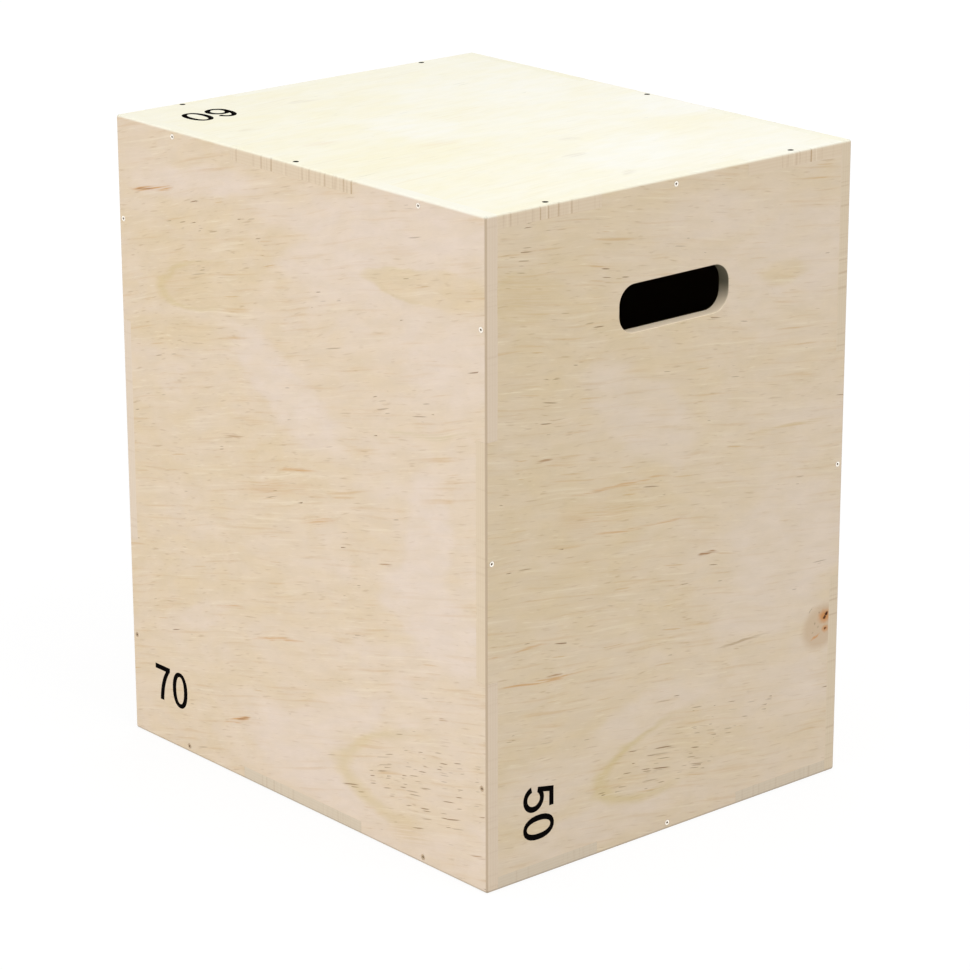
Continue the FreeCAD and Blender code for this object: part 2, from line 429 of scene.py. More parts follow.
@dataclass(frozen=True)
class Plywood:
    """Sanded softwood plywood under a clear matt coat: rotary-cut veneer on its faces, plies on its edges.

    The veneer's tone swings between pale and tan in soft patches stretched along the grain, with a fine
    mottle, small flecks and short dark dashes that lie in clusters. The top of the box is painted paler as
    painted light, and painted shade lies at its foot, inside it and in the screw holes. Waves and cells are
    counted to the metre along the grain, across it and into the wood.
    """

    pale: Colour = shown(223, 206, 190)
    tan: Colour = shown(217, 197, 166)
    olive: Colour = shown(207, 187, 140)
    fleck: Colour = shown(180, 150, 114)
    glint: Colour = shown(238, 226, 206)
    dash: Colour = shown(126, 93, 58)
    line: Colour = shown(202, 168, 122)
    edge_light: Colour = shown(218, 201, 178)
    edge_dark: Colour = shown(216, 198, 174)
    eased_edge: Colour = shown(184, 164, 140)
    eased_force: float = 0.85
    # Painted shadow along the rounded-over foot of the box
    painted_foot_shadow: Colour = shown(150, 136, 118)
    painted_foot_shadow_force: float = 0.5
    hatch: Colour = shown(176, 146, 112)
    # Painted light: the top of the box is painted paler than its wood
    painted_top_light: Colour = shown(246, 253, 247)
    painted_top_light_warm: Colour = shown(247, 250, 228)
    painted_top_light_force: float = 0.6
    # Painted shade: the inner faces of the hollow box are painted dark brown
    inside: Colour = shown(100, 78, 54)
    # Painted shade: black in the screw holes
    painted_black_shade: Colour = (0.003, 0.002, 0.001, 1.0)
    thickness: float = 0.015
    plies: int = 9
    edge_radius: float = 0.003
    # Depths below the face between which the screw holes get painted shade
    hole_rim: Pair = (0.00001, 0.00006)
    hole_floor: Pair = (0.004, 0.003)
    gloss: float = 0.08
    rough: Pair = (0.66, 0.5)
    relief: float = 0.0002
    relief_force: float = 0.25
    swirl_waves: Triple = (6, 14, 6)
    swirl_reach: Triple = (0.06, 0.018, 0)
    ripple_waves: Triple = (26, 60, 26)
    ripple_reach: Triple = (0.03, 0.009, 0)
    tone_waves: Triple = (3.6, 10, 3)
    tone_range: Pair = (0.38, 0.72)
    cloud_waves: Triple = (24, 48, 24)
    cloud_range: Pair = (-0.16, 0.16)
    mottle_waves: Triple = (26, 85, 26)
    mottle_shade: Pair = (0.978, 1.021)
    fibre_waves: Triple = (150, 1300, 150)
    fibre_shade: Pair = (0.987, 1.013)
    streak_waves: Triple = (10, 240, 10)
    fleck_waves: Triple = (46, 400, 46)
    thread_waves: Triple = (18, 620, 18)
    line_cells: Triple = (13, 230, 1)
    line_size: float = 0.17
    line_crowd: float = 0.16
    wisp_cells: Triple = (7, 95, 1)
    wisp_size: float = 0.22
    wisp_crowd: float = 0.34
    long_dash_cells: Triple = (19, 320, 1)
    short_dash_cells: Triple = (36, 400, 1)
    dash_size: float = 0.21
    crowd_waves: Triple = (12, 40, 12)
    crowd_range: Pair = (0.0, 0.15)
    rag_waves: Triple = (220, 220, 220)
    rag_reach: Triple = (0.004, 0.004, 0)
    saw_waves: Triple = (240, 240, 6)
    saw_cluster_waves: Triple = (19, 19, 0)

    def material(self, skin: "PanelSkin") -> bpy.types.Material:
        """The plywood of one panel.

        Args:
            skin: The panel that it goes on.

        Returns:
            The material.
        """
        sheet = NodeSheet(bpy.data.materials.new("plywood_" + skin.node))
        place = skin.place(sheet)
        depth = sheet.parts(place)[2]
        veneer, height, tone = self.veneer(sheet, place, skin)
        edge = self.edge(sheet, place, depth, skin)
        colour = sheet.mixed(self.is_edge(sheet, depth), veneer, edge)
        # Painted shade in the screw holes, just below the face, on panels that have it
        by_face = sheet.product(sheet.eased(depth, *self.hole_rim), sheet.eased(depth, *self.hole_floor))
        colour = self.by_place(sheet, colour, tone, sheet.product(by_face, skin.hole_shade))
        bump = sheet.node("Bump", {"Strength": self.relief_force, "Distance": self.relief, "Height": height})
        rough = sheet.eased(height, 0.0, 1.0, *self.rough)
        shader = sheet.node("BsdfPrincipled", {
            "Base Color": colour,
            "Roughness": rough,
            "Specular IOR Level": self.gloss,
            "Normal": bump.outputs[0],
        })
        return sheet.finish(shader)

    def veneer(self, sheet: NodeSheet, place: Socket, skin: "PanelSkin") -> tuple[Socket, Socket, Socket]:
        """The colour, the relief and the tone of the face veneer.

        Args:
            sheet: The node tree.
            place: The place on the face.
            skin: The panel.

        Returns:
            The colour, the height of the surface from 0 to 1, and the tone from 0 for pale to 1 for tan.
        """
        grain = sheet.turned(place, turn=(0, 0, math.radians(skin.grain)))
        swirl = sheet.stir(grain, self.swirl_waves, skin.seed, self.swirl_reach)
        grain = sheet.vector("ADD", grain, swirl)
        ripple = sheet.stir(grain, self.ripple_waves, skin.seed + 12, self.ripple_reach)
        wavy = sheet.vector("ADD", sheet.vector("ADD", place, swirl), ripple)
        tone, outline, crowd = self.tone(sheet, grain, wavy, skin)
        colour = sheet.mixed(tone, self.pale, self.tan)
        colour = sheet.mixed(outline, colour, self.olive)
        mottle = sheet.noise(grain, self.mottle_waves, 3, skin.seed + 1)
        fibres = sheet.noise(grain, self.fibre_waves, 2, skin.seed + 4)
        shade = sheet.eased(mottle, 0.3, 0.7, *self.mottle_shade)
        shade = sheet.product(shade, sheet.eased(fibres, 0.3, 0.7, *self.fibre_shade))
        colour = sheet.scaled(colour, shade)
        streaks = sheet.noise(grain, self.streak_waves, 2, skin.seed + 2)
        flecks = sheet.noise(grain, self.fleck_waves, 1, skin.seed + 8)
        busy = sheet.eased(tone, 0.1, 0.7, 0.45, 1.0)
        lines = self.dashes(sheet, grain, self.line_cells, self.line_size, self.line_crowd, skin.seed + 5)
        wisps = self.dashes(sheet, grain, self.wisp_cells, self.wisp_size, self.wisp_crowd, skin.seed + 13)
        layers = (
            (sheet.eased(streaks, 0.55, 0.76), self.line, 0.38),
            (sheet.eased(streaks, 0.43, 0.25), self.glint, 0.3),
            (sheet.eased(flecks, 0.39, 0.21), self.fleck, 0.43),
            (sheet.eased(flecks, 0.62, 0.8), self.glint, 0.3),
            (lines, self.line, 0.75),
            (sheet.product(wisps, sheet.eased(streaks, 0.4, 0.6)), self.line, 0.6),
        )
        for cover, tint, force in layers:
            colour = sheet.mixed(sheet.product(cover, busy, force), colour, tint)
        threads = sheet.noise(grain, self.thread_waves, 1, skin.seed + 9)
        threads = sheet.eased(threads, 0.38, 0.58, 0.1, 1.0)
        for blot in skin.blots:
            cover = sheet.product(blot.cover(sheet, wavy), threads, blot.force)
            colour = sheet.mixed(cover, colour, blot.colour)
        kinds = ((self.long_dash_cells, skin.seed + 6), (self.short_dash_cells, skin.seed + 11))
        dashes = sheet.number("MAXIMUM", *(self.dashes(sheet, grain, cells, self.dash_size, crowd, seed)
                                          for cells, seed in kinds))
        colour = sheet.mixed(dashes, colour, self.dash)
        if skin.knot:
            ragged = sheet.vector("ADD", place, sheet.stir(place, self.rag_waves, 0.0, self.rag_reach))
        for blot in skin.knot:
            colour = sheet.mixed(sheet.product(blot.cover(sheet, ragged), blot.force), colour, blot.colour)
        height = sheet.number("SUBTRACT", sheet.blend(0.5, fibres, flecks), sheet.product(dashes, 0.5))
        return sheet.mixed(1.0, colour, skin.tint, "MULTIPLY"), height, tone

    def tone(self, sheet: NodeSheet, grain: Socket, place: Socket,
             skin: "PanelSkin") -> tuple[Socket, Value, Socket]:
        """The soft patches of pale and tan, their outlines, and where the dark dashes crowd.

        Args:
            sheet: The node tree.
            grain: The place, turned along the grain.
            place: The place on the face.
            skin: The panel.

        Returns:
            The tone from 0 for pale to 1 for tan, how strong the outlines are, and how thick the dashes lie.
        """
        tone = sheet.noise(grain, self.tone_waves, 2, skin.seed + 7)
        tone = sheet.eased(tone, 0.36, 0.64, *self.tone_range)
        crowd = sheet.noise(grain, self.crowd_waves, 1, skin.seed + 3)
        crowd = sheet.eased(crowd, 0.5, 0.8, *self.crowd_range)
        outline = 0.0
        for mark in skin.marks:
            cover = mark.cover(sheet, place)
            tone = sheet.blend(sheet.product(cover, abs(mark.tan)), tone, 1.0 if mark.tan > 0 else 0.0)
            if mark.dashes:
                crowd = sheet.blend(sheet.product(cover, mark.dashes), crowd, 1.0)
            if mark.outline:
                outline = sheet.number("ADD", outline, mark.rim(sheet, place, cover))
        cloud = sheet.noise(grain, self.cloud_waves, 3, skin.seed + 10)
        return sheet.number("ADD", tone, sheet.eased(cloud, 0.3, 0.7, *self.cloud_range)), outline, crowd

    def dashes(self, sheet: NodeSheet, grain: Socket, scale: Triple, size: float, crowd: Value,
               seed: float) -> Socket:
        """Short dashes along the grain, one at most in each cell of a stretched mosaic.

        Args:
            sheet: The node tree.
            grain: The place, turned along the grain.
            scale: How many cells go into a metre along each axis.
            size: The half size of a dash, as a share of its cell.
            crowd: How many of the cells have a dash, 0 to 1.
            seed: Where in the mosaic the pattern is taken from.

        Returns:
            How strong the dash is at the place, 0 to 1.
        """
        cells = sheet.turned(grain, move=(seed, seed, 0), scale=scale)
        mosaic = sheet.node("TexVoronoi", {"Vector": cells, "Scale": 1.0}, voronoi_dimensions="2D")
        chance, reach, force = sheet.parts(mosaic.outputs["Color"])
        is_here = sheet.number("LESS_THAN", chance, sheet.number("MULTIPLY", crowd, 0.5))
        edge = sheet.number("MULTIPLY_ADD", reach, size * 1.2, size * 0.35)
        near = sheet.number("DIVIDE", mosaic.outputs["Distance"], edge)
        dash = sheet.eased(near, 1.0, 0.45)
        return sheet.product(dash, is_here, sheet.number("MULTIPLY_ADD", force, 0.65, 0.2))

    def is_edge(self, sheet: NodeSheet, depth: Socket) -> Socket:
        """Where the plies are cut across.

        Args:
            sheet: The node tree.
            depth: How deep the place is below the outer face.

        Returns:
            1 on the edges, 0 on the two faces of the panel.
        """
        ply = self.thickness / self.plies
        below_face = sheet.eased(depth, ply * 0.15, ply * 0.4)
        above_back = sheet.eased(depth, self.thickness - ply * 0.15, self.thickness - ply * 0.4)
        return sheet.product(below_face, above_back)

    def edge(self, sheet: NodeSheet, place: Socket, depth: Socket, skin: "PanelSkin") -> Socket:
        """The colour of the edges: plies that lie along and across by turns, with saw marks over them, and
        painted shade and light on a hand hole's wall.

        Args:
            sheet: The node tree.
            place: The place on the panel.
            depth: How deep it is below the outer face.
            skin: The panel.

        Returns:
            The colour.
        """
        ply = self.thickness / self.plies
        swing = sheet.number("PINGPONG", depth, ply)
        layer = sheet.eased(swing, ply * 0.4, ply * 0.6)
        colour = sheet.mixed(layer, self.edge_light, self.edge_dark)
        saw = sheet.noise(place, self.saw_waves, 4, skin.seed)
        clusters = sheet.eased(sheet.noise(place, self.saw_cluster_waves, 2, skin.seed + 2), 0.36, 0.58)
        for start, stop, tint in ((0.5, 0.68, self.hatch), (0.42, 0.27, self.glint)):
            lines = sheet.product(sheet.eased(saw, start, stop), clusters, skin.hatch)
            colour = sheet.mixed(lines, colour, tint)
        colour = sheet.mixed(1.0, colour, skin.edge_tint, "MULTIPLY")
        # Painted shade and painted light on the hand hole's wall: grey shade above, pale light below
        if skin.hand_hole:
            hole = skin.hand_hole
            shade_to_light = sheet.eased(sheet.parts(place)[1], hole.painted_light_from, hole.painted_light_to)
            colour = sheet.mixed(hole.cover(sheet, place), colour, sheet.mixed(shade_to_light, hole.painted_shade_grey, hole.wear_and_painted_light))
        return colour

    def by_place(self, sheet: NodeSheet, colour: Socket, tone: Socket, recess_shade: Socket) -> Socket:
        """A colour changed by its place on the box.

        It is darker where the upright edges are rounded over, has a painted shadow where the foot of the box
        is rounded over, painted light that makes the top paler, painted shade in dark brown inside the hollow
        box and black painted shade in the screw holes.

        Args:
            sheet: The node tree.
            colour: The colour without it.
            tone: The tone of the veneer, which the painted light on the top still shows.
            recess_shade: How much painted shade lies just below the face in the screw holes, away from the
                rounded edges.

        Returns:
            The new colour.
        """
        low, high = CAD_BOX
        place = sheet.object_place()
        away = sheet.vector("ABSOLUTE", sheet.vector("SUBTRACT", place, tuple((low + high) / 2)))
        inside_x, inside_y, inside_z = sheet.parts(sheet.vector("SUBTRACT", tuple((high - low) / 2), away))
        nearer = sheet.number("MINIMUM", inside_x, inside_y)
        farther = sheet.number("MAXIMUM", inside_x, inside_y)
        off_faces = sheet.eased(nearer, self.edge_radius * 0.02, self.edge_radius * 0.12)
        by_corner = sheet.eased(farther, self.edge_radius * 1.25, self.edge_radius * 0.95)
        colour = sheet.mixed(sheet.product(off_faces, by_corner, self.eased_force), colour, self.eased_edge)
        # Painted shade: the inner faces of the hollow box are painted dark brown
        deep = sheet.number("MINIMUM", nearer, inside_z)
        hollow = sheet.eased(deep, self.thickness * 0.94, self.thickness * 0.98)
        colour = sheet.mixed(hollow, colour, self.inside)
        height = sheet.parts(place)[2]
        # Painted shadow where the foot of the box is rounded over
        painted_foot_shadow = sheet.eased(height, low.z + self.edge_radius * 1.2, low.z + self.edge_radius * 0.6)
        colour = sheet.mixed(sheet.product(painted_foot_shadow, self.painted_foot_shadow_force), colour, self.painted_foot_shadow)
        # Painted light from above: the top of the box is painted paler
        top = sheet.eased(height, high.z - self.edge_radius, high.z - self.edge_radius * 0.15)
        painted_top_light = sheet.mixed(tone, self.painted_top_light, self.painted_top_light_warm)
        colour = sheet.mixed(sheet.product(top, self.painted_top_light_force), colour, painted_top_light)
        # Painted shade: the screw holes are painted black, away from the rounded edges
        inward = sheet.eased(nearer, self.edge_radius * 1.1, self.edge_radius * 1.25)
        return sheet.mixed(sheet.product(inward, recess_shade), colour, self.painted_black_shade)


@dataclass(frozen=True)
class PanelSkin:
    """One plywood panel and what its veneer shows.

    Attributes:
        node: The panel's node.
        face: The face of the box that it makes.
        grain: How far the grain rises to the right, in degrees.
        seed: Where in the noise its pattern is taken from.
        tint: What its veneer is multiplied by.
        edge_tint: What its edges are multiplied by.
        hatch: How strong the saw marks on its edges are.
        hole_shade: How dark the painted shade in its screw holes is, 0 to 1.
        marks: The marks in its veneer.
        blots: The streaks of resin in its veneer.
        knot: The parts of the knot in its veneer.
        hand_hole: The wall of its hand hole.
    """

    node: str
    face: Face
    grain: float
    seed: float
    tint: Colour = (1.0, 1.0, 1.0, 1.0)
    edge_tint: Colour = (1.0, 1.0, 1.0, 1.0)
    hatch: float = 0.3
    # Painted shade in the screw holes
    hole_shade: float = 0.0
    marks: tuple[Mark, ...] = ()
    blots: tuple[Blot, ...] = ()
    knot: tuple[Blot, ...] = ()
    hand_hole: Optional[HandHole] = None

    def place(self, sheet: NodeSheet) -> Socket:
        """The place on the face.

        Args:
            sheet: The node tree.

        Returns:
            The metres to the right of the face's upper left corner, down from it and deep below the face.
        """
        axes = Matrix((self.face.right, -self.face.up, -self.face.outward))
        move = -(axes @ self.face.corner)
        return sheet.turned(sheet.object_place(), tuple(move), tuple(axes.to_euler()))

    def dress(self, finish: Plywood) -> None:
        """Puts the plywood on the panel."""
        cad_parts[self.node].material_slots[0].material = finish.material(self)
        log.info("%s dressed", self.node)


@dataclass(frozen=True)
class ZincPlate:
    """Bright zinc plate on steel, with painted shade in the screw's recess and over the top screws' heads,
    and a painted dim reflection in brown on the low heads.
    """

    zinc: Colour = (1.0, 0.95, 0.86, 1.0)
    haze: Colour = (0.98, 0.91, 0.8, 1.0)
    # Painted shade: brown in the screw's recess and black over the whole head of the top screws
    recess_shade: Colour = (0.15, 0.085, 0.025, 1.0)
    painted_black_shade: Colour = (0.003, 0.002, 0.001, 1.0)
    # Painted reflection: the low heads are painted dimmer and browner, with darker painted shade in their
    # recess
    dim_reflection: Colour = shown(196, 174, 146)
    dim_recess_shade: Colour = shown(136, 116, 92)
    recess_shade_gloss: float = 0.05
    rough: Pair = (0.15, 0.28)
    cloud_waves: Triple = (900, 900, 900)

    def material(self) -> bpy.types.Material:
        """The zinc plate of all the screws.

        Returns:
            The material, which reads how deep a place lies in the recess and whether its head gets a painted
            dim reflection.
        """
        sheet = NodeSheet(bpy.data.materials.new("zinc_plate"))
        cloud = sheet.noise(sheet.object_place(), self.cloud_waves, 3)
        colour = sheet.mixed(sheet.eased(cloud, 0.35, 0.7), self.zinc, self.haze)
        # Painted reflection: the low heads are painted dimmer
        dim_reflection = sheet.node("Attribute", {}, attribute_name="dim_reflection").outputs["Fac"]
        colour = sheet.mixed(dim_reflection, colour, self.dim_reflection)
        # Painted shade in the recess, and over the whole head where the recess value is 2
        sunk = sheet.node("Attribute", {}, attribute_name="recess").outputs["Fac"]
        recess_shade = sheet.eased(sunk, 0.05, 0.2)
        recess_shade_colour = sheet.mixed(sheet.eased(sunk, 1.0, 1.5), self.recess_shade, self.painted_black_shade)
        colour = sheet.mixed(recess_shade, colour, sheet.mixed(dim_reflection, recess_shade_colour, self.dim_recess_shade))
        shader = sheet.node("BsdfPrincipled", {
            "Base Color": colour,
            "Metallic": sheet.number("SUBTRACT", 1.0, recess_shade),
            "Roughness": sheet.eased(cloud, 0.3, 0.7, *self.rough),
            "Specular IOR Level": self.recess_shade_gloss,
        })
        return sheet.finish(shader)


@dataclass(frozen=True)
class PrintedInk:
    """Matt black printing ink, a little worn over the fibres."""

    black: Colour = (0.003, 0.0025, 0.0025, 1.0)
    wear_and_painted_light: Colour = (0.009, 0.007, 0.006, 1.0)
    gloss: float = 0.0
    rough: Pair = (0.5, 0.7)
    relief: float = 0.0001
    relief_force: float = 0.2
    grain_waves: Triple = (900, 900, 900)

    def material(self) -> bpy.types.Material:
        """The ink of all the numbers.

        Returns:
            The material.
        """
        sheet = NodeSheet(bpy.data.materials.new("printed_ink"))
        grain = sheet.noise(sheet.object_place(), self.grain_waves, 3)
        colour = sheet.mixed(sheet.eased(grain, 0.5, 0.75), self.black, self.wear_and_painted_light)
        bump = sheet.node("Bump", {"Strength": self.relief_force, "Distance": self.relief, "Height": grain})
        shader = sheet.node("BsdfPrincipled", {
            "Base Color": colour,
            "Roughness": sheet.eased(grain, 0.3, 0.7, *self.rough),
            "Specular IOR Level": self.gloss,
            "Normal": bump.outputs[0],
        })
        return sheet.finish(shader)


def carried(name: str, sections: np.ndarray, is_loop: bool) -> bpy.types.Mesh:
    """A mesh of closed bodies, each of them a closed outline carried along a path.

    Point (b, i, j) is point j of the outline at step i of body b. Each step is joined to the next one, each
    outline closes on itself, and the path either closes too or has an outline as a lid at both ends.

    Args:
        name: The mesh's name.
        sections: The outlines, bodies x steps x points x 3.
        is_loop: Whether the path closes on itself.

    Returns:
        The mesh.
    """
    bodies, steps, points = sections.shape[:3]
    first = np.arange(bodies)[:, None, None] * steps * points
    rows = np.arange(steps if is_loop else steps - 1)[None, :, None]
    columns = np.arange(points)[None, None, :]
    next_rows, next_columns = (rows + 1) % steps, (columns + 1) % points
    corners = (rows * points + columns, rows * points + next_columns,
               next_rows * points + next_columns, next_rows * points + columns)
    faces = (np.stack(np.broadcast_arrays(*corners), -1) + first[..., None]).reshape(-1, 4).tolist()
    if not is_loop:
        lids = np.stack([columns[..., ::-1], (steps - 1) * points + columns], 1)[:, :, 0] + first
        faces += lids.reshape(-1, points).tolist()
    mesh = bpy.data.meshes.new(name)
    mesh.from_pydata(sections.reshape(-1, 3).tolist(), [], faces)
    mesh.validate()
    return mesh


def add_piece(name: str, mesh: bpy.types.Mesh, material: bpy.types.Material) -> bpy.types.Object:
    """Puts a new piece on the object.

    Args:
        name: The piece's name.
        mesh: Its mesh, in place.
        material: Its finish.

    Returns:
        The piece.
    """
    piece = bpy.data.objects.new(name, mesh)
    mesh.materials.append(material)
    bpy.context.scene.collection.objects.link(piece)
    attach(piece, BODY)
    log.info("%s made, %d faces", name, len(mesh.polygons))
    return piece


@dataclass(frozen=True)
class Screw:
    """A countersunk wood screw with a cross recess, head up at the origin, pointing down.

    Attributes:
        head_radius: The radius of the head.
        length: From the head's face to the tip.
        head_height: The height of the countersunk cone.
        core_radius: The radius between the threads.
        thread_radius: The radius of the thread's crest.
        pitch: From one thread to the next.
        tip_length: The length of the pointed end.
        recess_span: How far the arms of the cross reach from the middle.
        recess_depth: How deep the cross is in the middle.
        arm_half_width: Half the width of an arm of the cross.
        arm_taper: The share of that width that an arm loses on its way out.
        arm_rise: The share of the depth that an arm loses on its way out.
        painted_shade_reach: How far out from the middle the whole head gets painted shade, as a share of its
            radius.
        columns: Points round the screw.
        crowding: How much closer these lie along the arms of the cross.
        head_rings: Rings on the face of the head.
        cone_rings: Rings on its cone.
        thread_steps: Steps along one thread.
    """

    head_radius: float
    length: float
    head_height: float = 0.0018
    core_radius: float = 0.00105
    thread_radius: float = 0.0015
    pitch: float = 0.00135
    tip_length: float = 0.005
    recess_span: float = 0.0014
    recess_depth: float = 0.0016
    arm_half_width: float = 0.0006
    arm_taper: float = 0.3
    arm_rise: float = 0.75
    painted_shade_reach: float = 0.0
    columns: int = 40
    crowding: float = 0.12
    head_rings: int = 18
    cone_rings: int = 4
    thread_steps: int = 4

    def angles(self) -> np.ndarray:
        """The angles round the screw: even steps less a sine of four waves, so they crowd at the arms."""
        share = np.arange(self.columns) / self.columns
        return 2 * np.pi * share - self.crowding * np.pi / 2 * np.sin(8 * np.pi * share)

    def recess(self, x: np.ndarray, y: np.ndarray) -> np.ndarray:
        """How deep the cross is at a place on the head: full in the middle, shallower along its arms.

        The floor rises in a straight line along an arm. Its depth is multiplied by a smooth step at the arm's
        end and by one at its side, where the arm tapers in a straight line too.

        Args:
            x: Places along one arm.
            y: Places along the other arm.

        Returns:
            The depths.
        """
        along, aside = np.maximum(abs(x), abs(y)), np.minimum(abs(x), abs(y))
        floor = self.recess_depth * (1 - self.arm_rise * along / self.recess_span)
        inside_end = 1 - eased_step(self.recess_span * 0.9, self.recess_span, along)
        wall = self.arm_half_width * (1 - self.arm_taper * along / self.recess_span)
        inside_wall = 1 - eased_step(wall * 0.7, wall * 1.15, aside)
        return np.clip(floor, 0, None) * inside_end * inside_wall

    def sections(self) -> tuple[np.ndarray, np.ndarray]:
        """The rings of the screw from the middle of its head to its tip.

        On the head a ring has a radius from the profile and sinks by the recess. On the shank the radius
        swings between core and crest as a ridge of the height over the pitch less the angle, which winds a
        right-hand thread, and shrinks in a straight line over the pointed end.

        Returns:
            The rings, steps x points x 3, and how deep each point lies in the recess, as a share of its
            depth, or 2 where the whole head gets painted shade, steps x points.
        """
        angle = self.angles()[None, :]
        head = np.linspace(0.02, 1, self.head_rings)[:, None] * self.head_radius
        sunk = self.recess(head * np.cos(angle), head * np.sin(angle))
        cone = np.linspace(0, 1, self.cone_rings + 1)[1:, None]
        cone_radius = self.head_radius + (self.core_radius - self.head_radius) * cone
        threads = (self.length - self.head_height) / self.pitch
        drop = np.linspace(self.head_height, self.length, int(threads * self.thread_steps))[1:, None]
        turns = drop / self.pitch + angle / (2 * np.pi)
        ridge = np.clip(1 - abs(turns % 1 - 0.5) / 0.3, 0, 1)
        ridge = ridge * eased_step(self.head_height, self.head_height + self.pitch * 2, drop)
        point = np.clip((self.length - drop) / self.tip_length, 0.04, 1)
        shank_radius = (self.core_radius + (self.thread_radius - self.core_radius) * ridge) * point
        radius = np.concatenate([np.broadcast_to(part, (len(part), self.columns))
                                 for part in (head, cone_radius, shank_radius)])
        down = np.concatenate([np.broadcast_to(part, (len(part), self.columns))
                               for part in (sunk, cone * self.head_height, drop)])
        rings = np.stack([radius * np.cos(angle), radius * np.sin(angle), -down], -1)
        depths = np.zeros(radius.shape)
        # Painted shade over the whole head out to its reach, marked with 2
        is_shaded = head < self.painted_shade_reach * self.head_radius
        depths[:len(sunk)] = np.where(is_shaded, 2, sunk / self.recess_depth)
        return rings, depths


@dataclass(frozen=True)
class ScrewRow:
    """The screws that hold one edge of one panel.

    Attributes:
        node: The node that they stand for.
        face: The face of the box that their heads lie in.
        turn: How far the first cross is turned, in radians.
        dim_reflection_below: The height below which its heads get a painted dim reflection.
        painted_shade_reach: How far out from the middle its heads get painted shade, as a share of their
            radius.
    """

    node: str
    face: Face
    turn: float
    dim_reflection_below: float = 0.0
    painted_shade_reach: float = 0.0

    def heads(self) -> tuple[np.ndarray, float, float]:
        """Where the heads are, with the radius of a head and the length of a screw, all from the frame.

        A row that is wider than two heads holds two screws, one in each half of it. A head's middle is half
        way between the lowest and the highest point of its screw, across the face and up it.

        Returns:
            The middles of the heads, the radius and the length.
        """
        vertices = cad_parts[self.node].data.vertices
        points = np.empty(len(vertices) * 3)
        vertices.foreach_get("co", points)
        points = points.reshape(-1, 3)
        axes = self.face.axes
        local = points @ axes.T
        spread = np.ptp(local, axis=0)
        length, radius = spread[2], spread[:2].min() / 2
        row_axis = int(spread[:2].argmax())
        middle = (local[:, row_axis].min() + local[:, row_axis].max()) / 2
        is_pair = spread[row_axis] > 4 * radius
        is_first = local[:, row_axis] < middle
        groups = [is_first, ~is_first] if is_pair else [np.ones(len(local), bool)]
        ends = [(local[group].min(0) + local[group].max(0)) / 2 for group in groups]
        heads = np.array([[right, up, local[:, 2].max()] for right, up, _ in ends]) @ axes
        return heads, float(radius), float(length)

    def build(self, material: bpy.types.Material) -> None:
        """Makes the screws of the row as one piece that stands for the node.

        Each screw is the same rings, turned by a radian more than the one before it and moved to its head.

        Args:
            material: Their finish.
        """
        heads, radius, length = self.heads()
        rings, depths = Screw(radius, length, painted_shade_reach=self.painted_shade_reach).sections()
        bodies = [rings @ (spun(self.turn + number) @ self.face.axes) + head
                  for number, head in enumerate(heads)]
        name = "zinc_" + self.node
        mesh = carried(name, np.stack(bodies), False)
        # How deep each point lies in the recess, and whether its head gets a painted dim reflection
        for layer, values in (("recess", np.tile(depths.ravel(), len(heads))),
                              ("dim_reflection", np.repeat(heads[:, 2] < self.dim_reflection_below, depths.size))):
            attribute = mesh.attributes.new(layer, "FLOAT", "POINT")
            attribute.data.foreach_set("value", values.astype(np.float32))
        piece = add_piece(name, mesh, material)
        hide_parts(self.node)


def line(start: Pair, stop: Pair) -> np.ndarray:
    """Points on a straight line: the start times the share left to go, plus the stop times the share gone.

    Args:
        start: Where it starts.
        stop: Where it stops.

    Returns:
        The points, as many as on every other stretch of an outline.
    """
    share = np.linspace(0, 1, OUTLINE_STEPS)[:, None]
    return np.array(start) * (1 - share) + np.array(stop) * share


def bow(start: Pair, pull: Pair, stop: Pair) -> np.ndarray:
    """Points on a curve that leaves start towards pull and comes to stop from there.

    At the share s of the way it is start (1 - s)^2 + pull 2s(1 - s) + stop s^2.

    Args:
        start: Where it starts.
        pull: Where its two ends point to.
        stop: Where it stops.

    Returns:
        The points.
    """
    share = np.linspace(0, 1, OUTLINE_STEPS)[:, None]
    ends = np.array(start) * (1 - share) ** 2 + np.array(stop) * share ** 2
    return ends + np.array(pull) * 2 * share * (1 - share)


def arc(middle: Pair, radii: Pair, start: float, stop: float, square: float = 2.0) -> np.ndarray:
    """Points on part of an ellipse, squared off a little where its power is over 2.

    They are the half width times the angle's cosine and the half height times its sine, where the cosine and
    the sine are raised to 2 over the power and keep their signs.

    Args:
        middle: Its middle.
        radii: Its half width and half height.
        start: The angle where it starts, in degrees from the right, turning to the left.
        stop: The angle where it stops.
        square: The power of the ellipse.

    Returns:
        The points.
    """
    angle = np.radians(np.linspace(start, stop, OUTLINE_STEPS))
    cosine, sine = np.cos(angle), np.sin(angle)
    wide = np.sign(cosine) * abs(cosine) ** (2 / square)
    high = np.sign(sine) * abs(sine) ** (2 / square)
    return np.array(middle) + np.stack([wide, high], -1) * np.array(radii)


